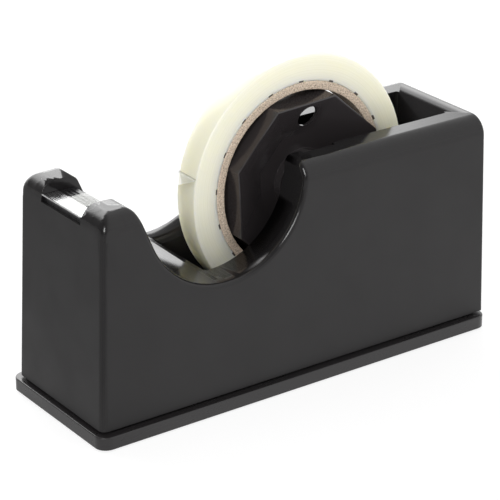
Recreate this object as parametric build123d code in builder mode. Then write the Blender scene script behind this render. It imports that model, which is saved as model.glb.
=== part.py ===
"""Heavy desk tape dispenser for 66 m rolls on a 76 mm core.

Millimetres, +Z up. X runs along the dispenser with the cutter at -X, Y across it.
The origin is the middle of the base, on the surface that the dispenser stands on.
"Left" is -Y and "right" is +Y, as seen from behind, looking towards the cutter.
"""

from build123d import *
from math import cos, radians, sin, tan
import os

os.makedirs("parts", exist_ok=True)

# ---- Driving dimensions -------------------------------------------------------

# base
base_length = 197.0
base_width = 70.0
base_bottom = 0.6  # the rubber pads lift the base by this much
flange_top = 6.0
base_top = 7.2  # top of the plinth that the housing stands on
base_floor = 3.6  # inside floor, where the weights stand
base_corner = 5.0

# housing: a drafted block, wider at the bottom
body_top = 96.0
top_trim = 0.06  # the rounds are made this much higher, then the flat tops are cut to height
front_bottom = -96.4
front_top = -92.5
rear_bottom = 98.2
rear_top = 96.4
half_width_bottom = 32.2
half_width_top = 30.7
skin = 2.5
top_round = 8.0
corner_round = 3.0
rear_round = 1.5
rim_round = 2.0

# finger dip between the cutter and the roll
dip_x = -35.0
dip_z = 92.7
dip_radius = 37.3
dip_lean = 23.2  # degrees that the cutter side of the dip leans from upright
cutter_shoulder = 5.0
roll_shoulder = 3.3

# well that the roll turns in
well_front = -37.0
well_rear = 87.0
well_half_width = 16.5
well_floor = 22.0
well_skin = 2.2

# axle, its bearing blocks and the two channels that they drop into
axle_x = 18.2
axle_z = 78.7
axle_radius = 3.0
axle_half_length = 18.0
block_radius = 8.0
block_inner_face = 12.8
block_outer_face = 18.3
channel_radius = 8.06
channel_half_span = 18.6

# roll of tape
core_inner = 38.1
core_outer = 41.6
roll_outer = 53.0
tape_half_width = 6.0

# hub: two octagonal halves, 25 mm wide together
hub_half_width = 12.5
hub_corner = 38.0  # radius to the corners of the octagon
hub_turn = 25.5  # degrees from +X to the first corner
hub_wall = 2.2  # measured at the corners
hub_web = 2.0
lip_corner = 37.2
web_corner = 21.7
web_face = 6.2
boss_radius = 13.4
boss_face = 10.0
neck_radius = 5.0
neck_face = 12.4
spigot_radius = 8.0
spigot_length = 4.0
facet_hole_radius = 4.6
facet_hole_place = 28.4  # from the axle to the middle of each hole in the funnel
facet_hole_turn = 63.5  # degrees from the first corner to the first hole
web_near_face = 4.0
web_far_face = 6.0
window_radius = 8.5
window_place = 23.4  # from the axle to the middle of each window in the web
window_turn = 31.5  # degrees from the first corner to the first window

# cutter
slot_half_width = 14.5
slot_floor = 88.2
plate_bottom = 90.3
plate_top = 91.1
blade_tip_x = -92.6
tooth_pitch = 1.5
tooth_depth = 0.9

# places of the fasteners
housing_screws = [(-84.0, -25.6), (-84.0, 25.6), (88.0, -25.6), (88.0, 25.6)]
weight_screw_places = [(-66.0, -12.0), (-66.0, 12.0), (0.0, 0.0), (50.0, 0.0)]
pad_places = {
    "front_left_pad": (-70.0, -24.5),
    "front_right_pad": (-70.0, 24.5),
    "rear_left_pad": (72.0, -24.5),
    "rear_right_pad": (72.0, 24.5),
}
screw_radius = 1.6
screw_head_radius = 3.4
screw_head_height = 1.6
screw_head_bottom = 0.9


def body_half_width(z):
    """Half width of the housing's outside at height z."""
    share = (z - base_top) / (body_top - base_top)
    return half_width_bottom + (half_width_top - half_width_bottom) * share


def upright_edges(part, low_x, high_x):
    """Long edges that stand upright between two x places."""
    return part.edges().filter_by(
        lambda e: abs(e.tangent_at(0.5).Z) > 0.9 and e.length > 10 and low_x < e.center().X < high_x
    )


def dip_outline(inset):
    """Closed outline of the air above the finger dip, grown by inset into the housing."""
    top = body_top + top_trim - inset
    left_round = cutter_shoulder - inset
    right_round = roll_shoulder - inset
    radius = dip_radius + inset
    out_x, out_z = cos(radians(dip_lean)), sin(radians(dip_lean))
    bend = (dip_x - radius * out_x, dip_z - radius * out_z)
    shoulder_z = top - left_round + left_round * out_z
    shoulder = (bend[0] - (shoulder_z - bend[1]) * tan(radians(dip_lean)), shoulder_z)
    left_end = (shoulder[0] - left_round * out_x, top)
    right_side = (dip_x + radius, dip_z)
    right_end = (dip_x + radius + right_round, top)
    above = body_top + 10
    with BuildLine() as outline:
        RadiusArc(left_end, shoulder, left_round)
        Line(shoulder, bend)
        ThreePointArc(bend, (dip_x, dip_z - radius), right_side)
        RadiusArc(right_side, (right_end[0], dip_z + right_round), right_round)
        Line((right_end[0], dip_z + right_round), (right_end[0], above))
        Line((right_end[0], above), (left_end[0], above))
        Line((left_end[0], above), left_end)
    return outline


def drafted_block(inset, side_radius):
    """The housing's block without its dip, inset on every side, its top edges rounded."""
    low = base_top if inset == 0 else base_top - 5
    share = (low - base_top) / (body_top - base_top)
    low_front = front_bottom + (front_top - front_bottom) * share + inset
    low_rear = rear_bottom + (rear_top - rear_bottom) * share - inset
    low_half = body_half_width(low) - inset
    high = body_top + top_trim - inset
    with BuildPart() as block:
        with BuildSketch(Plane.XY.offset(low)):
            with Locations(((low_front + low_rear) / 2, 0)):
                Rectangle(low_rear - low_front, 2 * low_half)
        with BuildSketch(Plane.XY.offset(high)):
            with Locations(((front_top + rear_top) / 2, 0)):
                Rectangle(rear_top - front_top - 2 * inset, 2 * (half_width_top - inset))
        loft()
        top_edges = block.edges().group_by(Axis.Z)[-1]
        fillet(top_edges.filter_by(lambda e: e.center().X < 90), side_radius)
    return block.part


# ---- Housing: one moulding with the cutter cheeks, finger dip, well and skirt ----

outer_draft = drafted_block(0, top_round)
inner_draft = drafted_block(skin, top_round - 2.2)
outer_dip = dip_outline(0).line
inner_dip = dip_outline(skin).line

with BuildPart() as outer_block:
    add(outer_draft)
    fillet(upright_edges(outer_block, -200, 0), corner_round)
    rear_edges = outer_block.edges().filter_by(
        lambda e: e.center().X > 95.5 and e.center().Z > 85 and abs(e.tangent_at(0.5).Z) < 0.99
    )
    fillet(rear_edges, rear_round)

with BuildPart() as dip_air:
    with BuildSketch(Plane.XZ):
        with BuildLine():
            add(outer_dip)
        make_face()
    extrude(amount=base_width, both=True)

with BuildPart() as dip_air_inside:
    with BuildSketch(Plane.XZ):
        with BuildLine():
            add(inner_dip)
        make_face()
    extrude(amount=base_width, both=True)

with BuildPart() as well_box:
    with BuildSketch(Plane.XY.offset(well_floor - well_skin)):
        with Locations(((well_front + well_rear) / 2, 0)):
            Rectangle(well_rear - well_front + 2 * well_skin, 2 * (well_half_width + well_skin))
    extrude(amount=body_top)
    # the well's walls bulge outwards behind the axle channels
    with BuildSketch(Plane.XY.offset(axle_z - channel_radius - well_skin)):
        with Locations((axle_x, 0)):
            Rectangle(2 * (channel_radius + well_skin), 2 * (channel_half_span + well_skin))
    extrude(amount=body_top)

with BuildPart() as slot_box:
    with BuildSketch(Plane.XY.offset(slot_floor - skin)):
        with Locations((-87, 0)):
            Rectangle(30, 2 * (slot_half_width + skin))
    extrude(amount=20)

with BuildPart() as cavity:
    add(inner_draft)
    add(dip_air_inside.part, mode=Mode.SUBTRACT)
    add(well_box.part, mode=Mode.SUBTRACT)
    add(slot_box.part, mode=Mode.SUBTRACT)

with BuildPart() as housing:
    add(outer_block.part)
    add(dip_air.part, mode=Mode.SUBTRACT)
    rim_faces = housing.faces().filter_by(
        lambda f: -80 < f.center().X < 10
        and 50 < f.center().Z < body_top
        and abs(f.center().Y) < 5
        and abs(f.normal_at().Y) < 0.1
    )
    rim_edges = rim_faces.edges().filter_by(lambda e: abs(e.center().Y) > 20)
    fillet(rim_edges, rim_round)
    with BuildSketch(Plane.XY.offset(body_top)):
        Rectangle(2 * base_length, 2 * base_width)
    extrude(amount=top_round, mode=Mode.SUBTRACT)
    add(cavity.part, mode=Mode.SUBTRACT)
    # well
    with BuildSketch(Plane.XY.offset(well_floor)):
        with Locations(((well_front + well_rear) / 2, 0)):
            RectangleRounded(well_rear - well_front, 2 * well_half_width, 1.5)
    extrude(amount=body_top, mode=Mode.SUBTRACT)
    # axle channels, open at the top
    with BuildSketch(Plane.XZ):
        with Locations((axle_x, axle_z)):
            Circle(channel_radius)
        with Locations((axle_x, (axle_z + body_top + 5) / 2)):
            Rectangle(2 * channel_radius, body_top + 5 - axle_z)
    extrude(amount=channel_half_span, both=True, mode=Mode.SUBTRACT)
    # cutter slot
    with BuildSketch(Plane.XY.offset(slot_floor)):
        with Locations((-87, 0)):
            Rectangle(34, 2 * slot_half_width)
    extrude(amount=20, mode=Mode.SUBTRACT)
    # screw bosses, moulded onto the side walls
    with BuildSketch(Plane.XY.offset(base_top)):
        with Locations(*housing_screws):
            Circle(4.2)
    extrude(amount=38)
    with BuildSketch(Plane.XY.offset(base_top)):
        with Locations(*housing_screws):
            Circle(screw_radius)
    extrude(amount=22, mode=Mode.SUBTRACT)
    # pilot holes for the two screws under the tape rest
    with BuildSketch(Plane.XY.offset(slot_floor - skin - 1)):
        with Locations((-87.4, -9), (-87.4, 9)):
            Circle(1.3)
    extrude(amount=skin + 2, mode=Mode.SUBTRACT)
housing.part.label = "housing"
export_step(housing.part, "parts/housing.step")

# ---- Base plate: flange, plinth, tongue that locates the housing ---------------

tongue_gap = 0.25
with BuildPart() as base_plate:
    with BuildSketch(Plane.XY.offset(base_bottom)):
        RectangleRounded(base_length, base_width, base_corner)
    extrude(amount=flange_top - base_bottom)
    fillet(base_plate.edges().group_by(Axis.Z)[-1], 0.5)
    plinth_length = rear_bottom - front_bottom - 4.4
    plinth_centre = (rear_bottom + front_bottom) / 2
    with BuildSketch(Plane.XY.offset(flange_top)):
        with Locations((plinth_centre, 0)):
            RectangleRounded(plinth_length, 2 * (half_width_bottom - 2.2), 2)
    extrude(amount=base_top - flange_top)
    tongue_length = rear_bottom - front_bottom - 2 * (skin + tongue_gap) - 1.0
    tongue_half = half_width_bottom - skin - tongue_gap - 0.3
    with BuildSketch(Plane.XY.offset(base_top)):
        with Locations((plinth_centre, 0)):
            RectangleRounded(tongue_length, 2 * tongue_half, 1.5)
    extrude(amount=3)
    with BuildSketch(Plane.XY.offset(base_floor)):
        with Locations((plinth_centre, 0)):
            RectangleRounded(tongue_length - 4, 2 * (tongue_half - 2), 1)
        with Locations(*housing_screws):
            Circle(6.0, mode=Mode.SUBTRACT)
    extrude(amount=20, mode=Mode.SUBTRACT)
    # pillars stop level with the plinth, under the housing's bosses
    with BuildSketch(Plane.XY.offset(base_top)):
        with Locations(*housing_screws):
            Circle(6.2)
    extrude(amount=5, mode=Mode.SUBTRACT)
    with Locations(*[(x, y, base_bottom) for x, y in housing_screws + weight_screw_places]):
        with Locations(Rotation(180, 0, 0)):
            CounterBoreHole(screw_radius, screw_head_radius + 0.3, screw_head_bottom + screw_head_height - base_bottom, 12)
    with BuildSketch(Plane.XY.offset(base_bottom)):
        with Locations(*pad_places.values()):
            Circle(6.2)
    extrude(amount=1.0, mode=Mode.SUBTRACT)
base_plate.part.label = "base_plate"
export_step(base_plate.part, "parts/base_plate.step")

# ---- Rubber pads ---------------------------------------------------------------

for pad_name, (pad_x, pad_y) in pad_places.items():
    with BuildPart() as pad:
        with BuildSketch():
            with Locations((pad_x, pad_y)):
                Circle(6.0)
        extrude(amount=base_bottom + 1.0)
        fillet(pad.edges().group_by(Axis.Z)[0], 0.4)
    pad.part.label = pad_name
    export_step(pad.part, f"parts/{pad_name}.step")

# ---- Weights inside ------------------------------------------------------------

with BuildPart() as front_weight:
    with BuildSketch(Plane.XZ):
        with BuildLine():
            Polyline(
                (-88.5, base_floor), (-88.5, 81), (-79, 81), (-66, 62), (-54, 51.5),
                (-41, 47.5), (-41, base_floor), close=True,
            )
        make_face()
    extrude(amount=26.5, both=True)
    with BuildSketch(Plane.XY.offset(base_floor)):
        with Locations(*housing_screws[:2]):
            Circle(6.6)
            Rectangle(13.2, 13.2, align=(Align.MAX, Align.CENTER))
    extrude(amount=60, mode=Mode.SUBTRACT)
    with BuildSketch(Plane.XY.offset(base_floor)):
        with Locations(*weight_screw_places[:2]):
            Circle(screw_radius)
    extrude(amount=14, mode=Mode.SUBTRACT)
    fillet(front_weight.edges().filter_by(Axis.Y).filter_by(lambda e: e.center().Z > 60), 2)
front_weight.part.label = "front_weight"
export_step(front_weight.part, "parts/front_weight.step")

with BuildPart() as floor_weight:
    with BuildSketch(Plane.XY.offset(base_floor)):
        with Locations((23, 0)):
            RectangleRounded(112, 50, 3)
    extrude(amount=10)
    with BuildSketch(Plane.XY.offset(base_floor)):
        with Locations(*weight_screw_places[2:]):
            Circle(screw_radius)
    extrude(amount=10, mode=Mode.SUBTRACT)
    chamfer(floor_weight.edges().group_by(Axis.Z)[-1].filter_by(GeomType.LINE), 0.8)
floor_weight.part.label = "floor_weight"
export_step(floor_weight.part, "parts/floor_weight.step")


# ---- Screws --------------------------------------------------------------------

def pan_screws(places, head_bottom, length):
    """A group of equal pan-head screws standing head down, with a cross recess."""
    with BuildPart() as screws:
        for x, y in places:
            with BuildSketch(Plane.XY.offset(head_bottom)):
                with Locations((x, y)):
                    Circle(screw_head_radius)
            extrude(amount=screw_head_height)
            with BuildSketch(Plane.XY.offset(head_bottom + screw_head_height)):
                with Locations((x, y)):
                    Circle(screw_radius)
            extrude(amount=length)
        fillet(screws.edges().filter_by(GeomType.CIRCLE).group_by(Axis.Z)[0], 0.9)
        with BuildSketch(Plane.XY.offset(head_bottom)):
            with Locations(*places):
                Rectangle(3.2, 0.8)
                Rectangle(0.8, 3.2)
        extrude(amount=1.1, mode=Mode.SUBTRACT)
    return screws.part


base_screws = pan_screws(housing_screws, screw_head_bottom, 24)
base_screws.label = "base_screws"
export_step(base_screws, "parts/base_screws.step")

weight_screws = pan_screws(weight_screw_places, screw_head_bottom, 10)
weight_screws.label = "weight_screws"
export_step(weight_screws, "parts/weight_screws.step")

# ---- Cutter: tape rest, toothed blade and the screws under them -----------------

rest_half_width = slot_half_width - 0.2
with BuildPart() as tape_rest:
    with BuildSketch(Plane.XZ):
        with BuildLine():
            Polyline(
                (-91.4, slot_floor), (-91.4, plate_bottom), (-85.6, plate_bottom),
                (-85.6, plate_bottom - 1.4), (-84.6, plate_bottom - 1.4), (-84.6, plate_top - 0.2),
                (-77.4, plate_top - 0.2), (-75.6, slot_floor), close=True,
            )
        make_face()
    extrude(amount=rest_half_width, both=True)
    # ridges that the free end of the tape lies on
    with BuildSketch(Plane.XZ):
        with Locations(*[(x, plate_top - 0.2) for x in (-83.4, -81.6, -79.8)]):
            Circle(0.45)
    extrude(amount=rest_half_width - 1.0, both=True)
    with BuildSketch(Plane.XY.offset(slot_floor)):
        with Locations((-87.4, -9), (-87.4, 9)):
            Circle(1.0)
    extrude(amount=1.5, mode=Mode.SUBTRACT)
tape_rest.part.label = "tape_rest"
export_step(tape_rest.part, "parts/tape_rest.step")

tooth_count = int(2 * rest_half_width / tooth_pitch)
with BuildPart() as cutter_blade:
    # the plate lies on the rest, its rear edge turned down into the rest's groove
    with BuildSketch(Plane.XZ):
        with BuildLine():
            Polyline(
                (blade_tip_x, plate_top + 0.45), (-91.5, plate_top), (-84.8, plate_top),
                (-84.8, plate_bottom - 1.3), (-85.4, plate_bottom - 1.3), (-85.4, plate_bottom),
                (-91.5, plate_bottom), (blade_tip_x, plate_bottom + 0.75), close=True,
            )
        make_face()
    extrude(amount=rest_half_width - 0.1, both=True)
    # teeth
    with BuildSketch(Plane.XY.offset(plate_bottom - 0.5)):
        with Locations(*[(blade_tip_x, (i - (tooth_count - 1) / 2) * tooth_pitch) for i in range(tooth_count)]):
            Polygon((0, -tooth_pitch * 0.42), (0, tooth_pitch * 0.42), (tooth_depth, 0), align=None)
    extrude(amount=3, mode=Mode.SUBTRACT)
cutter_blade.part.label = "cutter_blade"
export_step(cutter_blade.part, "parts/cutter_blade.step")

with BuildPart() as rest_screws:
    with BuildSketch(Plane.XY.offset(slot_floor - skin - 1.4)):
        with Locations((-87.4, -9), (-87.4, 9)):
            Circle(2.2)
    extrude(amount=1.4)
    with BuildSketch(Plane.XY.offset(slot_floor - skin)):
        with Locations((-87.4, -9), (-87.4, 9)):
            Circle(1.0)
    extrude(amount=skin + 1.4)
rest_screws.part.label = "rest_screws"
export_step(rest_screws.part, "parts/rest_screws.step")

# ---- Axle and the two bearing blocks on its ends ---------------------------------

with BuildPart() as axle:
    with BuildSketch(Plane.XZ.offset(-axle_half_length)):
        with Locations((axle_x, axle_z)):
            Circle(axle_radius)
    extrude(amount=2 * axle_half_length)
    chamfer(axle.edges().filter_by(GeomType.CIRCLE), 0.5)
axle.part.label = "axle"
export_step(axle.part, "parts/axle.step")

block_length = block_outer_face - block_inner_face
with BuildPart() as left_bearing:
    with BuildSketch(Plane.XZ.offset(block_inner_face)):
        with Locations((axle_x, axle_z)):
            Circle(block_radius)
            Circle(axle_radius, mode=Mode.SUBTRACT)
    extrude(amount=block_length)
    chamfer(left_bearing.edges().filter_by(GeomType.CIRCLE).filter_by(lambda e: e.radius > 5), 0.5)
left_bearing.part.label = "left_bearing"
export_step(left_bearing.part, "parts/left_bearing.step")

with BuildPart() as right_bearing:
    add(left_bearing.part)
    mirror(about=Plane.XZ, mode=Mode.REPLACE)
right_bearing.part.label = "right_bearing"
export_step(right_bearing.part, "parts/right_bearing.step")

# ---- Hub halves, meeting on the middle plane --------------------------------------

# the funnel-shaped air inside the open side of the left half
with BuildPart() as funnel_air:
    with BuildSketch(Plane.XZ.offset(hub_half_width)):
        with Locations((axle_x, axle_z)):
            RegularPolygon(lip_corner, 8, rotation=hub_turn)
    with BuildSketch(Plane.XZ.offset(web_face)):
        with Locations((axle_x, axle_z)):
            RegularPolygon(web_corner, 8, rotation=hub_turn)
    loft()

# the hollow behind the funnel, open at the middle plane
with BuildPart() as half_hollow:
    with BuildSketch(Plane.XZ):
        with Locations((axle_x, axle_z)):
            RegularPolygon(hub_corner - hub_wall, 8, rotation=hub_turn)
    extrude(amount=hub_half_width)
    with BuildSketch(Plane.XZ.offset(hub_half_width)):
        with Locations((axle_x, axle_z)):
            RegularPolygon(lip_corner + 2 * hub_web, 8, rotation=hub_turn)
    with BuildSketch(Plane.XZ.offset(web_face - hub_web)):
        with Locations((axle_x, axle_z)):
            RegularPolygon(web_corner - 1.0, 8, rotation=hub_turn)
    loft(mode=Mode.SUBTRACT)
    with BuildSketch(Plane.XZ):
        with Locations((axle_x, axle_z)):
            Circle(boss_radius)
    extrude(amount=hub_half_width, mode=Mode.SUBTRACT)

with BuildPart() as left_hub:
    with BuildSketch(Plane.XZ):
        with Locations((axle_x, axle_z)):
            RegularPolygon(hub_corner, 8, rotation=hub_turn)
    extrude(amount=hub_half_width)
    corner_edges = left_hub.edges().filter_by(lambda e: abs(e.tangent_at(0.5).Y) > 0.99)
    fillet(corner_edges, 1.0)
    add(funnel_air.part, mode=Mode.SUBTRACT)
    add(half_hollow.part, mode=Mode.SUBTRACT)
    # two round holes in opposite facets of the funnel
    with BuildSketch(Plane.XZ):
        with Locations((axle_x, axle_z)):
            with PolarLocations(facet_hole_place, 2, start_angle=hub_turn + facet_hole_turn):
                Circle(facet_hole_radius)
    extrude(amount=hub_half_width, mode=Mode.SUBTRACT)
    # boss, its neck and the spigot that goes into the other half
    with BuildSketch(Plane.XZ):
        with Locations((axle_x, axle_z)):
            Circle(boss_radius)
    extrude(amount=boss_face)
    with BuildSketch(Plane.XZ.offset(boss_face)):
        with Locations((axle_x, axle_z)):
            Circle(neck_radius)
    extrude(amount=neck_face - boss_face)
    with BuildSketch(Plane.XZ.offset(-spigot_length)):
        with Locations((axle_x, axle_z)):
            Circle(spigot_radius)
    extrude(amount=spigot_length)
    with BuildSketch(Plane.XZ.offset(-spigot_length)):
        with Locations((axle_x, axle_z)):
            Circle(axle_radius + 0.05)
    extrude(amount=3 * hub_half_width, mode=Mode.SUBTRACT)
left_hub.part.label = "left_hub"
export_step(left_hub.part, "parts/left_hub.step")

# the right half is an open rim on a flat web with four round windows
with BuildPart() as right_hub:
    with BuildSketch(Plane.XZ):
        with Locations((axle_x, axle_z)):
            RegularPolygon(hub_corner, 8, rotation=hub_turn)
    extrude(amount=-hub_half_width)
    corner_edges = right_hub.edges().filter_by(lambda e: abs(e.tangent_at(0.5).Y) > 0.99)
    fillet(corner_edges, 1.0)
    with BuildSketch(Plane.XZ):
        with Locations((axle_x, axle_z)):
            RegularPolygon(hub_corner - hub_wall, 8, rotation=hub_turn)
    extrude(amount=-hub_half_width, mode=Mode.SUBTRACT)
    with BuildSketch(Plane.XZ.offset(-web_near_face)):
        with Locations((axle_x, axle_z)):
            RegularPolygon(hub_corner - hub_wall / 2, 8, rotation=hub_turn)
            with PolarLocations(window_place, 4, start_angle=hub_turn + window_turn):
                Circle(window_radius, mode=Mode.SUBTRACT)
    extrude(amount=web_near_face - web_far_face)
    # boss and neck, with the socket for the left half's spigot
    with BuildSketch(Plane.XZ):
        with Locations((axle_x, axle_z)):
            Circle(boss_radius)
    extrude(amount=-boss_face)
    with BuildSketch(Plane.XZ.offset(-boss_face)):
        with Locations((axle_x, axle_z)):
            Circle(neck_radius)
    extrude(amount=boss_face - neck_face)
    with BuildSketch(Plane.XZ):
        with Locations((axle_x, axle_z)):
            Circle(spigot_radius)
    extrude(amount=-spigot_length - 0.2, mode=Mode.SUBTRACT)
    with BuildSketch(Plane.XZ):
        with Locations((axle_x, axle_z)):
            Circle(axle_radius + 0.05)
    extrude(amount=-2 * hub_half_width, mode=Mode.SUBTRACT)
right_hub.part.label = "right_hub"
export_step(right_hub.part, "parts/right_hub.step")

# ---- Cardboard core and wound tape -------------------------------------------------

with BuildPart() as cardboard_core:
    with BuildSketch(Plane.XZ.offset(-tape_half_width)):
        with Locations((axle_x, axle_z)):
            Circle(core_outer)
            Circle(core_inner, mode=Mode.SUBTRACT)
    extrude(amount=2 * tape_half_width)
cardboard_core.part.label = "cardboard_core"
export_step(cardboard_core.part, "parts/cardboard_core.step")

with BuildPart() as tape_roll:
    with BuildSketch(Plane.XZ.offset(-tape_half_width)):
        with Locations((axle_x, axle_z)):
            Circle(roll_outer)
            Circle(core_outer, mode=Mode.SUBTRACT)
    extrude(amount=2 * tape_half_width)
tape_roll.part.label = "tape_roll"
export_step(tape_roll.part, "parts/tape_roll.step")

# ---- Free strip of tape, from the roll to the cutter --------------------------------

strip_thickness = 0.2
strip_gap = 0.2  # between the strip and the turning roll
peel_turn = 168.0  # degrees round the roll where the strip leaves it
strip_rest_z = plate_top + 0.75
peel_radius = roll_outer + strip_gap + strip_thickness / 2
peel_point = (axle_x + peel_radius * cos(radians(peel_turn)), axle_z + peel_radius * sin(radians(peel_turn)))
cutter_skew = -1.8  # the strip runs slightly to the left towards the cutter
with BuildPart() as tape_strip:
    with BuildSketch(Plane.XZ):
        with BuildLine():
            Polyline(
                (blade_tip_x - 0.4, strip_rest_z),
                (-77, strip_rest_z - 0.1),
                (peel_point[0] - 1.2, peel_point[1] - 0.6),
                peel_point,
            )
        trace(line_width=strip_thickness)
    extrude(amount=20, both=True)
    with BuildSketch(Plane.XY.offset(base_top)):
        with BuildLine():
            Polyline(
                (blade_tip_x - 2, cutter_skew - tape_half_width), (-30, -tape_half_width),
                (-30, tape_half_width), (blade_tip_x - 2, cutter_skew + tape_half_width), close=True,
            )
        make_face()
    extrude(amount=body_top, mode=Mode.INTERSECT)
tape_strip.part.label = "tape_strip"
export_step(tape_strip.part, "parts/tape_strip.step")
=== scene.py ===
import bpy
import bmesh
import math
import random
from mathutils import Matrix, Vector


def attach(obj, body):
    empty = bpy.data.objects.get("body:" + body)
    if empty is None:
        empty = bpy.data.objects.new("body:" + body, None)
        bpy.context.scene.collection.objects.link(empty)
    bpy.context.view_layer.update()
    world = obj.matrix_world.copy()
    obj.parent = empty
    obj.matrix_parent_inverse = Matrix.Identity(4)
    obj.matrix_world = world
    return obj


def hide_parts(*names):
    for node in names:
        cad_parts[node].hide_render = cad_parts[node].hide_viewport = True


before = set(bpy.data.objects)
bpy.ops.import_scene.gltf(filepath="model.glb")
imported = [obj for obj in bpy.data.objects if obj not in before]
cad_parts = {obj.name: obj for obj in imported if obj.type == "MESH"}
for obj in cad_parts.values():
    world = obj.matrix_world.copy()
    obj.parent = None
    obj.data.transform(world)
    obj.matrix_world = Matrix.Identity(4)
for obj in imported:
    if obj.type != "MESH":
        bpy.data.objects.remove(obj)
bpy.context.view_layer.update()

# ---- Studio ---------------------------------------------------------------------
# The dispenser stands on a white sweep. A large softbox stands behind it and to the
# right, a small one beside the camera, and the room is dim to the front left.

CAMERA_AZIMUTH = math.radians(-35.55)
CAMERA_ELEVATION = math.radians(23.74)
CAMERA_TARGET = Vector((-0.00255, 0.00058, 0.04955))
CAMERA_DISTANCE = 0.93295
CAMERA_LENS = 162.3
FRONT_LIGHT_WAY = Vector((-0.69, -0.475, 0.54))
FRONT_LIGHT_DISTANCE = 1.25
FRONT_LIGHT_WIDTH, FRONT_LIGHT_HEIGHT = 0.34, 0.62
FRONT_LIGHT_POWER = 8.0
FLOOR_GREY = 0.35
FLOOR_GLOW, FLOOR_DIM_GLOW = 0.72, 0.12
FLOOR_DIM_X, FLOOR_LIT_X = -0.16, -0.06  # between these the floor's glow rises

camera_back = Vector((
    math.sin(CAMERA_AZIMUTH) * math.cos(CAMERA_ELEVATION),
    -math.cos(CAMERA_AZIMUTH) * math.cos(CAMERA_ELEVATION),
    math.sin(CAMERA_ELEVATION),
))
camera_data = bpy.data.cameras.new("camera")
camera_data.lens = CAMERA_LENS
camera_data.clip_start = 0.01
camera_data.clip_end = 20.0
camera = bpy.data.objects.new("camera", camera_data)
bpy.context.scene.collection.objects.link(camera)
camera.location = CAMERA_TARGET + CAMERA_DISTANCE * camera_back
camera.rotation_euler = camera_back.to_track_quat("Z", "Y").to_euler()
bpy.context.scene.camera = camera
bpy.context.scene.view_settings.view_transform = "Standard"


def set_ramp(ramp, stops):
    """Give a colour ramp its stops, as (place, colour) pairs, where a plain number is a grey."""
    while len(ramp.elements) > 1:
        ramp.elements.remove(ramp.elements[-1])
    for number, (place, colour) in enumerate(stops):
        stop = ramp.elements[0] if number == 0 else ramp.elements.new(place)
        stop.position = place
        stop.color = (*colour, 1) if isinstance(colour, tuple) else (colour, colour, colour, 1)


world = bpy.data.worlds.new("studio")
bpy.context.scene.world = world
world.use_nodes = True
sky = world.node_tree
sky.nodes.clear()
sky_out = sky.nodes.new("ShaderNodeOutputWorld")
sky_light = sky.nodes.new("ShaderNodeBackground")
sky_way = sky.nodes.new("ShaderNodeTexCoord")
sky_split = sky.nodes.new("ShaderNodeSeparateXYZ")
sky.links.new(sky_way.outputs["Generated"], sky_split.inputs[0])

# the room: dim to the front left, brighter to the right
room_side = sky.nodes.new("ShaderNodeMapRange")
room_side.inputs["From Min"].default_value = -1.0
room = sky.nodes.new("ShaderNodeValToRGB")
set_ramp(room.color_ramp, [(0.0, 0.18), (0.28, 0.24), (0.5, 0.6), (0.7, 1.1), (1.0, 1.1)])
sky.links.new(sky_split.outputs["X"], room_side.inputs["Value"])
sky.links.new(room_side.outputs["Result"], room.inputs[0])

# the softbox: from 30 degrees left of +Y to 40 degrees right of it, and not overhead
toward = sky.nodes.new("ShaderNodeMath")
toward.operation = "ARCTAN2"
softbox_turn = sky.nodes.new("ShaderNodeMapRange")
softbox_turn.inputs["From Min"].default_value = -math.pi
softbox_turn.inputs["From Max"].default_value = math.pi
softbox_spread = sky.nodes.new("ShaderNodeValToRGB")
set_ramp(softbox_spread.color_ramp, [(0.417, 0.0), (0.46, 1.0), (0.608, 1.0), (0.616, 0.0)])
softbox_height = sky.nodes.new("ShaderNodeValToRGB")
set_ramp(softbox_height.color_ramp, [(0.0, 2.2), (0.42, 2.4), (0.55, 5.0), (0.70, 5.0), (0.75, 0.0)])
softbox = sky.nodes.new("ShaderNodeVectorMath")
softbox.operation = "MULTIPLY"
total = sky.nodes.new("ShaderNodeVectorMath")
total.operation = "ADD"
sky.links.new(sky_split.outputs["X"], toward.inputs[0])
sky.links.new(sky_split.outputs["Y"], toward.inputs[1])
sky.links.new(toward.outputs["Value"], softbox_turn.inputs["Value"])
sky.links.new(softbox_turn.outputs["Result"], softbox_spread.inputs[0])
sky.links.new(sky_split.outputs["Z"], softbox_height.inputs[0])
sky.links.new(softbox_spread.outputs["Color"], softbox.inputs[0])
sky.links.new(softbox_height.outputs["Color"], softbox.inputs[1])
sky.links.new(room.outputs["Color"], total.inputs[0])
sky.links.new(softbox.outputs["Vector"], total.inputs[1])
sky.links.new(total.outputs["Vector"], sky_light.inputs["Color"])
sky.links.new(sky_light.outputs[0], sky_out.inputs[0])

# a small softbox beside the camera, which the rounded corners catch
front_light_data = bpy.data.lights.new("front_softbox", "AREA")
front_light_data.shape = "RECTANGLE"
front_light_data.size = FRONT_LIGHT_WIDTH
front_light_data.size_y = FRONT_LIGHT_HEIGHT
front_light_data.energy = FRONT_LIGHT_POWER
front_light = bpy.data.objects.new("front_softbox", front_light_data)
front_light.location = CAMERA_TARGET + FRONT_LIGHT_DISTANCE * FRONT_LIGHT_WAY
front_light.rotation_euler = FRONT_LIGHT_WAY.to_track_quat("Z", "Y").to_euler()
bpy.context.scene.collection.objects.link(front_light)

bpy.ops.object.select_all(action="DESELECT")
bpy.ops.mesh.primitive_plane_add(size=8.0, location=(0, 0, 0))
floor = bpy.context.object
floor.name = "floor"
floor_paint = bpy.data.materials.new("floor_paint")
floor_paint.use_nodes = True
floor_shader = floor_paint.node_tree.nodes["Principled BSDF"]
floor_shader.inputs["Base Color"].default_value = (FLOOR_GREY, FLOOR_GREY, FLOOR_GREY, 1)
floor_shader.inputs["Roughness"].default_value = 0.9
floor_shader.inputs["Specular IOR Level"].default_value = 0.0
floor_shader.inputs["Emission Color"].default_value = (1, 1, 1, 1)
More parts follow.
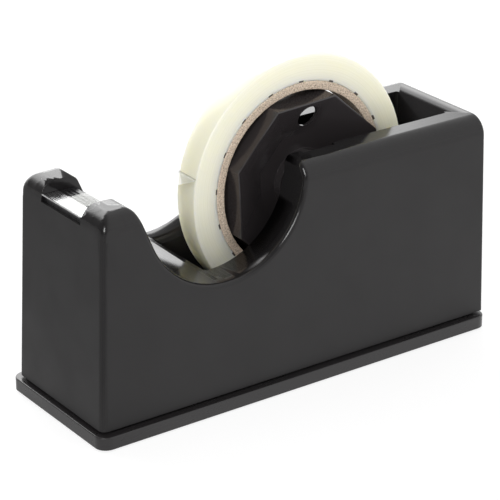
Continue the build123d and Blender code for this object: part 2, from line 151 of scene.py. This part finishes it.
# the sweep looks white from the camera, and what it lights falls off towards the cutter end
floor_tree = floor_paint.node_tree
floor_place = floor_tree.nodes.new("ShaderNodeTexCoord")
floor_split = floor_tree.nodes.new("ShaderNodeSeparateXYZ")
floor_fall = floor_tree.nodes.new("ShaderNodeMapRange")
floor_fall.inputs["From Min"].default_value = FLOOR_DIM_X
floor_fall.inputs["From Max"].default_value = FLOOR_LIT_X
floor_fall.inputs["To Min"].default_value = FLOOR_DIM_GLOW
floor_fall.inputs["To Max"].default_value = FLOOR_GLOW
floor_ray = floor_tree.nodes.new("ShaderNodeLightPath")
floor_glow = floor_tree.nodes.new("ShaderNodeMath")
floor_glow.operation = "MAXIMUM"
floor_seen = floor_tree.nodes.new("ShaderNodeMath")
floor_seen.operation = "MULTIPLY"
floor_seen.inputs[1].default_value = FLOOR_GLOW
floor_tree.links.new(floor_place.outputs["Object"], floor_split.inputs[0])
floor_tree.links.new(floor_split.outputs["X"], floor_fall.inputs["Value"])
floor_tree.links.new(floor_ray.outputs["Is Camera Ray"], floor_seen.inputs[0])
floor_tree.links.new(floor_fall.outputs["Result"], floor_glow.inputs[0])
floor_tree.links.new(floor_seen.outputs["Value"], floor_glow.inputs[1])
floor_tree.links.new(floor_glow.outputs["Value"], floor_shader.inputs["Emission Strength"])
floor.data.materials.append(floor_paint)

# ---- Housing --------------------------------------------------------------------
# One moulding of black plastic. The tool is spark-eroded on the outer walls, which come
# out with a fine matt grain, and polished on the tops, the rims, the dip and the well.
# It is the designed shell, with the hand-blended front corners that the real tool has.

GRAIN = 0.0004  # spacing of the matt grain
WALL_LOW, WALL_HIGH = 0.0072, 0.096
WALL_SIDE_LOW, WALL_SIDE_LEAN = 0.0322, 0.0015 / 0.0888
WALL_FRONT_LOW, WALL_FRONT_LEAN = 0.0964, 0.0039 / 0.0888
WALL_REAR = 0.0976
GRAIN_DEPTH = 0.0007  # the grain fades out where a round has left the wall by this much
CORNER_X, CORNER_Y, CORNER_Z = -0.0815, 0.0205, 0.0855  # inner ends of the front top corners
CORNER_CELL = 0.0008  # spacing of the cuts that make the corners fine enough to smooth
CORNER_REPEATS = 44


def start_material(name, colour, roughness):
    """A new principled material, its node tree and its shader."""
    material = bpy.data.materials.new(name)
    material.use_nodes = True
    shader = material.node_tree.nodes["Principled BSDF"]
    shader.inputs["Base Color"].default_value = (*colour, 1)
    shader.inputs["Roughness"].default_value = roughness
    return material, material.node_tree, shader


def object_noise(tree, scale, detail=2.0, stretch=(1, 1, 1)):
    """Noise on object coordinates, stretched along the axes."""
    place = tree.nodes.new("ShaderNodeTexCoord")
    turn = tree.nodes.new("ShaderNodeMapping")
    turn.inputs["Scale"].default_value = stretch
    noise = tree.nodes.new("ShaderNodeTexNoise")
    noise.inputs["Scale"].default_value = scale
    noise.inputs["Detail"].default_value = detail
    tree.links.new(place.outputs["Object"], turn.inputs["Vector"])
    tree.links.new(turn.outputs["Vector"], noise.inputs["Vector"])
    return noise


def add_bump(tree, shader, height, strength, distance):
    """Bump from a height socket on a shader's normal."""
    bump = tree.nodes.new("ShaderNodeBump")
    bump.inputs["Strength"].default_value = strength
    bump.inputs["Distance"].default_value = distance
    tree.links.new(height, bump.inputs["Height"])
    tree.links.new(bump.outputs["Normal"], shader.inputs["Normal"])


def math_node(tree, operation, first, second=None, third=None):
    """A math node whose inputs are sockets or numbers."""
    node = tree.nodes.new("ShaderNodeMath")
    node.operation = operation
    for number, value in enumerate((first, second, third)):
        if value is None:
            continue
        if isinstance(value, (int, float)):
            node.inputs[number].default_value = value
        else:
            tree.links.new(value, node.inputs[number])
    return node.outputs[0]


def spread(tree, value, low, high, out_low, out_high):
    """Map a socket's range onto another, without going past its ends."""
    node = tree.nodes.new("ShaderNodeMapRange")
    ends = {"From Min": low, "From Max": high, "To Min": out_low, "To Max": out_high}
    for name, number in ends.items():
        node.inputs[name].default_value = number
    tree.links.new(value, node.inputs["Value"])
    return node.outputs["Result"]


def merged_copy(node, name):
    """A copy of a designed node with its triangles joined, ready to be worked on."""
    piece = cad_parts[node].copy()
    piece.data = piece.data.copy()
    piece.name = name
    bpy.context.scene.collection.objects.link(piece)
    piece.parent = None
    for key in [k for k in piece.keys() if k.startswith("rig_")]:
        del piece[key]
    bpy.ops.object.select_all(action="DESELECT")
    piece.select_set(True)
    bpy.context.view_layer.objects.active = piece
    bpy.ops.object.mode_set(mode="EDIT")
    bpy.ops.mesh.select_all(action="SELECT")
    bpy.ops.mesh.remove_doubles(threshold=0.000001)
    bpy.ops.object.mode_set(mode="OBJECT")
    piece.data.materials.clear()
    return piece


def flatten_shading(piece, angle):
    """Smooth shading in which each vertex follows its largest faces, so that flats stay flat."""
    bpy.ops.object.mode_set(mode="EDIT")
    bpy.ops.mesh.select_all(action="SELECT")
    bpy.ops.mesh.dissolve_limited(angle_limit=math.radians(0.4), delimit=set())
    bpy.ops.object.mode_set(mode="OBJECT")
    bpy.ops.object.shade_smooth_by_angle(angle=math.radians(angle))
    weighted = piece.modifiers.new("weighted", "WEIGHTED_NORMAL")
    weighted.keep_sharp = True
    weighted.weight = 80
    bpy.ops.object.modifier_apply(modifier=weighted.name)


def pick_faces(piece, test):
    """In edit mode, select only the faces that pass a test."""
    bpy.ops.mesh.select_all(action="DESELECT")
    bpy.ops.mesh.select_mode(type="FACE")
    mesh = bmesh.from_edit_mesh(piece.data)
    for face in mesh.faces:
        if test(face):
            face.select_set(True)
    bmesh.update_edit_mesh(piece.data)


def pick_points(piece, test):
    """In edit mode, select only the points whose places pass a test."""
    bpy.ops.mesh.select_all(action="DESELECT")
    bpy.ops.mesh.select_mode(type="VERT")
    mesh = bmesh.from_edit_mesh(piece.data)
    for point in mesh.verts:
        if test(point.co):
            point.select_set(True)
    mesh.select_flush(True)
    bmesh.update_edit_mesh(piece.data)


housing_plastic, tree, shader = start_material("housing_plastic", (0.0125, 0.0116, 0.012), 0.5)
place = tree.nodes.new("ShaderNodeTexCoord")
split = tree.nodes.new("ShaderNodeSeparateXYZ")
tree.links.new(place.outputs["Object"], split.inputs[0])
height = math_node(tree, "SUBTRACT", split.outputs["Z"], WALL_LOW)
side_wall = math_node(tree, "MULTIPLY_ADD", height, -WALL_SIDE_LEAN, WALL_SIDE_LOW)
off_side = math_node(tree, "SUBTRACT", side_wall, math_node(tree, "ABSOLUTE", split.outputs["Y"]))
front_wall = math_node(tree, "MULTIPLY_ADD", height, -WALL_FRONT_LEAN, WALL_FRONT_LOW)
off_end = math_node(tree, "SUBTRACT", front_wall, math_node(tree, "MULTIPLY", split.outputs["X"], -1.0))
off_rear = math_node(tree, "SUBTRACT", WALL_REAR, split.outputs["X"])
off_wall = math_node(tree, "MINIMUM", math_node(tree, "MINIMUM", off_side, off_end), off_rear)
polish = spread(tree, off_wall, 0.00012, GRAIN_DEPTH, 0.0, 1.0)
patchy = object_noise(tree, 60, 3.0)
matt = spread(tree, patchy.outputs["Fac"], 0.3, 0.7, 0.46, 0.54)
gloss = spread(tree, patchy.outputs["Fac"], 0.3, 0.7, 0.15, 0.2)
shader.inputs["Specular IOR Level"].default_value = 0.36
roughness = tree.nodes.new("ShaderNodeMix")
tree.links.new(polish, roughness.inputs[0])
tree.links.new(matt, roughness.inputs[2])
tree.links.new(gloss, roughness.inputs[3])
tree.links.new(roughness.outputs[0], shader.inputs["Roughness"])
grain = object_noise(tree, 1 / GRAIN, 2.0)
grain_height = math_node(tree, "MULTIPLY", grain.outputs["Fac"], spread(tree, polish, 0.0, 0.6, 1.0, 0.0))
add_bump(tree, shader, grain_height, 0.5, 0.00004)

housing = merged_copy("housing", "housing_shell")
bpy.ops.object.mode_set(mode="EDIT")


def in_front_corner(face):
    """Outer faces that reach into one of the two rounded front top corners."""
    reach_x = min(point.co.x for point in face.verts)
    reach_y = max(abs(point.co.y) for point in face.verts)
    reach_z = max(point.co.z for point in face.verts)
    return reach_x < CORNER_X and reach_y > CORNER_Y and reach_z > CORNER_Z and face.normal.z > 0.03


cuts = []
for axis, start, end in ((0, -0.0965, CORNER_X), (1, CORNER_Y, 0.0322), (2, CORNER_Z, 0.0958)):
    count = int(round((end - start) / CORNER_CELL))
    for number in range(1, count):
        cuts.append((axis, start + number * CORNER_CELL))
        if axis == 1:
            cuts.append((axis, -start - number * CORNER_CELL))
for axis, at in cuts:
    pick_faces(housing, in_front_corner)
    place_on_axis = [0.0, 0.0, 0.0]
    place_on_axis[axis] = at
    facing = [0.0, 0.0, 0.0]
    facing[axis] = 1.0
    bpy.ops.mesh.bisect(plane_co=place_on_axis, plane_no=facing, threshold=0.00001)
pick_points(housing, lambda co: (
    co.x < CORNER_X - 0.0005 and abs(co.y) > CORNER_Y + 0.0005 and co.z > CORNER_Z + 0.0008
    and co.x + 0.0959 - WALL_FRONT_LEAN * (co.z - WALL_HIGH) > -0.004
))
bpy.ops.mesh.vertices_smooth(factor=0.5, repeat=CORNER_REPEATS)
bpy.ops.object.mode_set(mode="OBJECT")
flatten_shading(housing, 38)
housing.data.materials.append(housing_plastic)
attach(housing, "dispenser")
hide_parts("housing")

# ---- Base plate -----------------------------------------------------------------
# A shallow tray in satin black plastic that closes the housing from below and carries
# the weights. Its flange stands out round the housing and is rubbed by the desk.


def finish_node(node, material):
    """Give a designed node its finish."""
    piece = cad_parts[node]
    piece.data.materials.clear()
    piece.data.materials.append(material)


base_plastic, tree, shader = start_material("base_plastic", (0.018, 0.0165, 0.017), 0.26)
rubbed = object_noise(tree, 90, 5.0, (0.25, 1, 1))
tree.links.new(spread(tree, rubbed.outputs["Fac"], 0.3, 0.75, 0.2, 0.36), shader.inputs["Roughness"])
orange_peel = object_noise(tree, 900, 1.0)
add_bump(tree, shader, orange_peel.outputs["Fac"], 0.15, 0.00005)
finish_node("base_plate", base_plastic)

# ---- Rubber pads ----------------------------------------------------------------
# Four round pads of black rubber, pressed into recesses under the base. The skin is
# dusty and faintly pitted.

pad_rubber, tree, shader = start_material("pad_rubber", (0.02, 0.02, 0.02), 0.85)
dust = object_noise(tree, 700, 4.0)
dust_tone = tree.nodes.new("ShaderNodeValToRGB")
set_ramp(dust_tone.color_ramp, [(0.35, (0.014, 0.014, 0.014)), (0.7, (0.045, 0.044, 0.042))])
tree.links.new(dust.outputs["Fac"], dust_tone.inputs[0])
tree.links.new(dust_tone.outputs["Color"], shader.inputs["Base Color"])
add_bump(tree, shader, dust.outputs["Fac"], 0.4, 0.0001)
for pad in ("front_left_pad", "front_right_pad", "rear_left_pad", "rear_right_pad"):
    finish_node(pad, pad_rubber)

# ---- Weights --------------------------------------------------------------------
# Two grey iron castings inside, screwed down on the base. They are left as cast, with
# a sandy skin and a little rust.

cast_iron, tree, shader = start_material("cast_iron", (0.12, 0.12, 0.125), 0.7)
shader.inputs["Metallic"].default_value = 0.7
sand = object_noise(tree, 650, 6.0)
rust = object_noise(tree, 55, 5.0)
rust_tone = tree.nodes.new("ShaderNodeValToRGB")
set_ramp(rust_tone.color_ramp, [
    (0.45, (0.11, 0.11, 0.115)), (0.62, (0.15, 0.1, 0.07)), (0.75, (0.2, 0.085, 0.035))])
tree.links.new(rust.outputs["Fac"], rust_tone.inputs[0])
tree.links.new(rust_tone.outputs["Color"], shader.inputs["Base Color"])
tree.links.new(spread(tree, sand.outputs["Fac"], 0.3, 0.7, 0.55, 0.85), shader.inputs["Roughness"])
add_bump(tree, shader, sand.outputs["Fac"], 0.7, 0.0003)
finish_node("front_weight", cast_iron)
finish_node("floor_weight", cast_iron)

# ---- Screws and axle ------------------------------------------------------------
# Self-tapping screws and a turned axle in zinc-plated steel, a bluish metal with a
# cloudy plating and fine turning lines round the axle.

zinc_steel, tree, shader = start_material("zinc_steel", (0.62, 0.64, 0.67), 0.32)
shader.inputs["Metallic"].default_value = 1.0
cloudy = object_noise(tree, 260, 4.0)
cloud_tone = tree.nodes.new("ShaderNodeValToRGB")
set_ramp(cloud_tone.color_ramp, [
    (0.3, (0.52, 0.54, 0.58)), (0.55, (0.64, 0.65, 0.66)), (0.75, (0.7, 0.68, 0.6))])
tree.links.new(cloudy.outputs["Fac"], cloud_tone.inputs[0])
tree.links.new(cloud_tone.outputs["Color"], shader.inputs["Base Color"])
turning = object_noise(tree, 500, 2.0, (0.2, 8, 0.2))
tree.links.new(spread(tree, turning.outputs["Fac"], 0.3, 0.7, 0.22, 0.42), shader.inputs["Roughness"])
add_bump(tree, shader, turning.outputs["Fac"], 0.12, 0.00004)
for node in ("base_screws", "weight_screws", "rest_screws", "axle"):
    finish_node(node, zinc_steel)

# ---- Tape rest and blade --------------------------------------------------------
# The rest is a small dark moulding screwed down in the slot between the cheeks. The
# blade is a toothed strip of bright rolled steel hooked over it.

rest_plastic, tree, shader = start_material("rest_plastic", (0.012, 0.012, 0.013), 0.3)
moulded = object_noise(tree, 800, 2.0)
tree.links.new(spread(tree, moulded.outputs["Fac"], 0.3, 0.7, 0.24, 0.38), shader.inputs["Roughness"])
add_bump(tree, shader, moulded.outputs["Fac"], 0.2, 0.00005)
finish_node("tape_rest", rest_plastic)

blade_steel, tree, shader = start_material("blade_steel", (0.66, 0.67, 0.68), 0.2)
shader.inputs["Metallic"].default_value = 1.0
rolled = object_noise(tree, 300, 4.0, (12, 0.3, 12))
tree.links.new(spread(tree, rolled.outputs["Fac"], 0.3, 0.7, 0.14, 0.3), shader.inputs["Roughness"])
rolled_tone = tree.nodes.new("ShaderNodeValToRGB")
set_ramp(rolled_tone.color_ramp, [(0.3, (0.56, 0.57, 0.58)), (0.7, (0.72, 0.72, 0.72))])
tree.links.new(rolled.outputs["Fac"], rolled_tone.inputs[0])
tree.links.new(rolled_tone.outputs["Color"], shader.inputs["Base Color"])
add_bump(tree, shader, rolled.outputs["Fac"], 0.1, 0.00003)
finish_node("cutter_blade", blade_steel)

# ---- Hub and its bearings -------------------------------------------------------
# Two octagonal mouldings in gloss black plastic, pressed together inside the core, with
# a round bearing block on each end of the axle. The edges are slightly broken.

EDGE_BREAK = 0.0003
EDGE_ANGLE = 28  # edges sharper than this many degrees are broken

hub_plastic, tree, shader = start_material("hub_plastic", (0.028, 0.0245, 0.0255), 0.1)
handled = object_noise(tree, 70, 5.0)
tree.links.new(spread(tree, handled.outputs["Fac"], 0.35, 0.75, 0.08, 0.2), shader.inputs["Roughness"])
flow = object_noise(tree, 350, 1.0)
add_bump(tree, shader, flow.outputs["Fac"], 0.08, 0.0001)


def break_edges(piece, width, angle, segments):
    """Join the triangles into flat faces, then round every edge sharper than an angle."""
    bpy.ops.object.mode_set(mode="EDIT")
    bpy.ops.mesh.select_all(action="SELECT")
    bpy.ops.mesh.dissolve_limited(angle_limit=math.radians(1.0), delimit=set())
    bpy.ops.object.mode_set(mode="OBJECT")
    bevel = piece.modifiers.new("broken_edges", "BEVEL")
    bevel.width = width
    bevel.segments = segments
    bevel.limit_method = "ANGLE"
    bevel.angle_limit = math.radians(angle)
    bevel.use_clamp_overlap = True
    bpy.ops.object.modifier_apply(modifier=bevel.name)
    flatten_shading(piece, 14)


for half in ("left_hub", "right_hub"):
    hub = merged_copy(half, half + "_moulding")
    break_edges(hub, EDGE_BREAK, EDGE_ANGLE, 3)
    hub.data.materials.append(hub_plastic)
    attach(hub, "spool")
    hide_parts(half)
finish_node("left_bearing", hub_plastic)
finish_node("right_bearing", hub_plastic)

# ---- Cardboard core -------------------------------------------------------------
# A tube of spirally wound kraft board, sawn to length: its cut ends show pale fibres
# with dark specks, and the saw has left the corners a little ragged.

AXLE = Vector((0.0182, 0.0, 0.0787))
CORE_INNER, CORE_OUTER = 0.0381, 0.0416
TAPE_HALF = 0.006
CORE_CORNER = 0.0003
CORE_PLIES = (0.0405, 0.0392)  # radii where two plies of board meet
RAGGED = 0.00012


def is_cap(face):
    """A flat end face of a disc about the axle, before the bore is opened."""
    return abs(face.normal.y) > 0.99 and (face.calc_center_median() - AXLE).xz.length < 0.001


def ring(name, inner, outer, half_width, corner, steps, walls=()):
    """A closed ring about the axle, from a cylinder: inset caps, bridged bore, broken corners.

    walls are further radii where an edge runs round both end faces, from outside in.
    """
    bpy.ops.object.select_all(action="DESELECT")
    bpy.ops.mesh.primitive_cylinder_add(
        vertices=steps, radius=outer, depth=2 * half_width, location=AXLE, rotation=(math.radians(90), 0, 0))
    piece = bpy.context.object
    piece.name = name
    bpy.ops.object.transform_apply(location=True, rotation=True, scale=True)
    bpy.ops.object.mode_set(mode="EDIT")
    last = outer
    for radius in (*walls, inner):
        pick_faces(piece, is_cap)
        bpy.ops.mesh.inset(thickness=(last - radius) * math.cos(math.pi / steps), depth=0)
        last = radius
    pick_faces(piece, is_cap)
    bpy.ops.mesh.bridge_edge_loops()
    bpy.ops.mesh.select_mode(type="EDGE")
    bpy.ops.mesh.select_all(action="DESELECT")
    mesh = bmesh.from_edit_mesh(piece.data)
    for edge in mesh.edges:
        if len(edge.link_faces) == 2 and edge.calc_face_angle() > math.radians(60):
            edge.select_set(True)
    bmesh.update_edit_mesh(piece.data)
    bpy.ops.mesh.bevel(offset=corner, offset_type="OFFSET", segments=3, affect="EDGES")
    bpy.ops.object.mode_set(mode="OBJECT")
    return piece


board, tree, shader = start_material("board", (0.5, 0.4, 0.3), 0.9)
fibres = object_noise(tree, 1500, 6.0)
specks = object_noise(tree, 2600, 1.0)
board_tone = tree.nodes.new("ShaderNodeValToRGB")
set_ramp(board_tone.color_ramp, [
    (0.30, (0.34, 0.25, 0.18)), (0.44, (0.60, 0.48, 0.37)),
    (0.58, (0.74, 0.62, 0.50)), (0.75, (0.90, 0.83, 0.73))])
speck_tone = tree.nodes.new("ShaderNodeValToRGB")
set_ramp(speck_tone.color_ramp, [(0.30, 0.35), (0.40, 1.0)])
board_mix = tree.nodes.new("ShaderNodeMix")
board_mix.data_type = "RGBA"
board_mix.blend_type = "MULTIPLY"
board_mix.inputs[0].default_value = 1.0
tree.links.new(fibres.outputs["Fac"], board_tone.inputs[0])
tree.links.new(specks.outputs["Fac"], speck_tone.inputs[0])
tree.links.new(board_tone.outputs["Color"], board_mix.inputs[6])
tree.links.new(speck_tone.outputs["Color"], board_mix.inputs[7])
tree.links.new(board_mix.outputs[2], shader.inputs["Base Color"])
add_bump(tree, shader, fibres.outputs["Fac"], 0.8, 0.0003)
shader.inputs["Specular IOR Level"].default_value = 0.2

core = ring("core_tube", CORE_INNER, CORE_OUTER, TAPE_HALF, CORE_CORNER, 360, walls=CORE_PLIES)
saw = random.Random(4)
for point in core.data.vertices:
    off_axle = point.co - AXLE
    if abs(point.co.y) > TAPE_HALF - 0.0004 and off_axle.xz.length < CORE_OUTER - 0.0006:
        out = Vector((off_axle.x, 0, off_axle.z)).normalized()
        point.co += out * saw.uniform(-RAGGED, RAGGED)
bpy.ops.object.shade_smooth_by_angle(angle=math.radians(40))
core.data.materials.append(board)
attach(core, "spool")
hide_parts("cardboard_core")

# ---- Wound tape -----------------------------------------------------------------
# Sixty-six metres of clear film wound on the core. Together its turns look like cream
# wax: light gets in, single turns show as fine circles, and some stand in or out.

ROLL_OUTER = 0.053
ROLL_CORNER = 0.00045
ROLL_STEP = 0.0007  # spacing of the edges on the roll's sides
TURN = 0.00035  # spacing of the circles that show
PROUD = 0.00006  # how far a turn stands in from the side
CREASES = 17  # creases round the core's outside
CREASE_SHADE_REACH = 0.0009  # how far out from the core the painted crease shade reaches

wound_film, tree, shader = start_material("wound_film", (0.92, 0.91, 0.78), 0.32)
shader.inputs["Subsurface Weight"].default_value = 0.75
shader.inputs["Subsurface Radius"].default_value = (1.0, 0.95, 0.7)
shader.inputs["Subsurface Scale"].default_value = 0.008
shader.inputs["Coat Weight"].default_value = 0.25
shader.inputs["Coat Roughness"].default_value = 0.12
place = tree.nodes.new("ShaderNodeTexCoord")
centre = tree.nodes.new("ShaderNodeMapping")
centre.vector_type = "POINT"
centre.inputs["Location"].default_value = (-AXLE.x, 0, -AXLE.z)
centre.inputs["Scale"].default_value = (1, 0, 1)
length = tree.nodes.new("ShaderNodeVectorMath")
length.operation = "LENGTH"
turns = tree.nodes.new("ShaderNodeTexNoise")
turns.noise_dimensions = "1D"
turns.inputs["Scale"].default_value = 1 / TURN
turns.inputs["Detail"].default_value = 3.0
tree.links.new(place.outputs["Object"], centre.inputs["Vector"])
tree.links.new(centre.outputs["Vector"], length.inputs[0])
tree.links.new(length.outputs["Value"], turns.inputs["W"])
film_tone = tree.nodes.new("ShaderNodeValToRGB")
set_ramp(film_tone.color_ramp, [
    (0.25, (0.84, 0.82, 0.66)), (0.5, (0.88, 0.86, 0.71)), (0.75, (0.91, 0.89, 0.76))])
tree.links.new(turns.outputs["Fac"], film_tone.inputs[0])
add_bump(tree, shader, turns.outputs["Fac"], 0.35, 0.00008)
# painted shade: dark marks where the first turn bridges the creases of the core, standing in for the shade
# in the hollows there
around = tree.nodes.new("ShaderNodeSeparateXYZ")
tree.links.new(centre.outputs["Vector"], around.inputs[0])
angle = math_node(tree, "ARCTAN2", around.outputs["Z"], around.outputs["X"])
wave = math_node(tree, "SINE", math_node(tree, "MULTIPLY", angle, CREASES))
crease = math_node(tree, "GREATER_THAN", wave, 0.9)
first_turn = math_node(tree, "LESS_THAN", length.outputs["Value"], CORE_OUTER + CREASE_SHADE_REACH)
painted_crease_shade = math_node(tree, "MULTIPLY", crease, first_turn)
film_tone_and_crease_shade = tree.nodes.new("ShaderNodeMix")
film_tone_and_crease_shade.data_type = "RGBA"
# the colour of the painted crease shade
film_tone_and_crease_shade.inputs[7].default_value = (0.09, 0.075, 0.06, 1)
tree.links.new(painted_crease_shade, film_tone_and_crease_shade.inputs[0])
tree.links.new(film_tone.outputs["Color"], film_tone_and_crease_shade.inputs[6])
tree.links.new(film_tone_and_crease_shade.outputs[2], shader.inputs["Base Color"])

roll_walls = [ROLL_OUTER - ROLL_STEP * step for step in range(1, 16)]
roll = ring("tape_winding", CORE_OUTER, ROLL_OUTER, TAPE_HALF, ROLL_CORNER, 256, walls=roll_walls)
winding = random.Random(7)
proud = [winding.uniform(-PROUD, PROUD * 0.2) for step in range(40)]
for point in roll.data.vertices:
    radius = (point.co - AXLE).xz.length
    if abs(point.co.y) > TAPE_HALF - 0.00001 and radius < ROLL_OUTER - 0.0006:
        step = int((ROLL_OUTER - radius) / ROLL_STEP + 0.5)
        point.co.y += math.copysign(proud[step], point.co.y)
bpy.ops.object.shade_smooth_by_angle(angle=math.radians(40))
roll.data.materials.append(wound_film)
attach(roll, "spool")
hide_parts("tape_roll")

# ---- Free strip of tape ---------------------------------------------------------
# One thickness of clear film, pulled off the roll and stuck down on the cutter. It
# bends where it leaves the roll, sags a little, and runs to the left at the cutter.

FILM = 0.00006
STRIP_TIP = Vector((-0.0930, 0.0, 0.09192))
STRIP_LAND = -0.0775  # where the film comes down on the rest
STRIP_TURN, STRIP_RUN = -0.030, 0.0626  # the film runs to the left from here, over this length
PEEL_RADIUS = 0.05335
PEEL_TURN = math.radians(168)
CUTTER_SKEW = -0.0018  # how far to the left the film is at the cutter
PEEL_BEND = 0.0008  # how far before and after the peeling line the film bends
SAG = 0.0005
CUP = 0.0004  # how far the film's edges lift along the free length
PATH_STEPS, BEND_STEPS = 40, 8

clear_film, tree, shader = start_material("clear_film", (0.5, 0.51, 0.48), 0.12)
shader.inputs["Alpha"].default_value = 0.3
shader.inputs["Coat Weight"].default_value = 0.6
shader.inputs["Coat Roughness"].default_value = 0.06
streaks = object_noise(tree, 120, 4.0, (0.12, 3, 3))
tree.links.new(spread(tree, streaks.outputs["Fac"], 0.3, 0.7, 0.06, 0.24), shader.inputs["Roughness"])
add_bump(tree, shader, streaks.outputs["Fac"], 0.3, 0.0002)


def on_roll(turn):
    """A point just outside the roll, at an angle about the axle."""
    return Vector((AXLE.x + PEEL_RADIUS * math.cos(turn), 0.0, AXLE.z + PEEL_RADIUS * math.sin(turn)))


peel = on_roll(PEEL_TURN)
bend_start = peel - Vector((PEEL_BEND, 0, 0))
bend_end = on_roll(PEEL_TURN - PEEL_BEND / PEEL_RADIUS)
path = []
for number in range(PATH_STEPS + 1):
    along = number / PATH_STEPS
    x = STRIP_TIP.x + (bend_start.x - STRIP_TIP.x) * along
    free = max(0.0, (x - STRIP_LAND) / (bend_start.x - STRIP_LAND))
    z = STRIP_TIP.z + (bend_start.z - STRIP_TIP.z) * free ** 1.2 - SAG * math.sin(math.pi * free)
    path.append(Vector((x, 0.0, z)))
for number in range(1, BEND_STEPS + 1):
    share = number / BEND_STEPS
    path.append(bend_start * (1 - share) ** 2 + peel * 2 * share * (1 - share) + bend_end * share ** 2)

bpy.ops.object.select_all(action="DESELECT")
bpy.ops.mesh.primitive_grid_add(x_subdivisions=len(path) - 1, y_subdivisions=8, size=1.0, location=(0, 0, 0))
strip = bpy.context.object
strip.name = "free_strip"
for point in strip.data.vertices:
    centre_line = path[int(round((point.co.x + 0.5) * (len(path) - 1)))]
    skew = CUTTER_SKEW * max(0.0, (STRIP_TURN - centre_line.x) / STRIP_RUN)
    free = min(1.0, max(0.0, (centre_line.x - STRIP_LAND) / (bend_start.x - STRIP_LAND)))
    cup = CUP * (2 * point.co.y) ** 2 * math.sin(math.pi * free)
    point.co = centre_line + Vector((0, 2 * TAPE_HALF * point.co.y + skew, cup))
strip.data.update()
thick = strip.modifiers.new("film", "SOLIDIFY")
thick.thickness = FILM
thick.offset = 0.0
bpy.ops.object.modifier_apply(modifier=thick.name)
bpy.ops.object.shade_smooth_by_angle(angle=math.radians(40))
strip.data.materials.append(clear_film)
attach(strip, "axle_unit")
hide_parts("tape_strip")
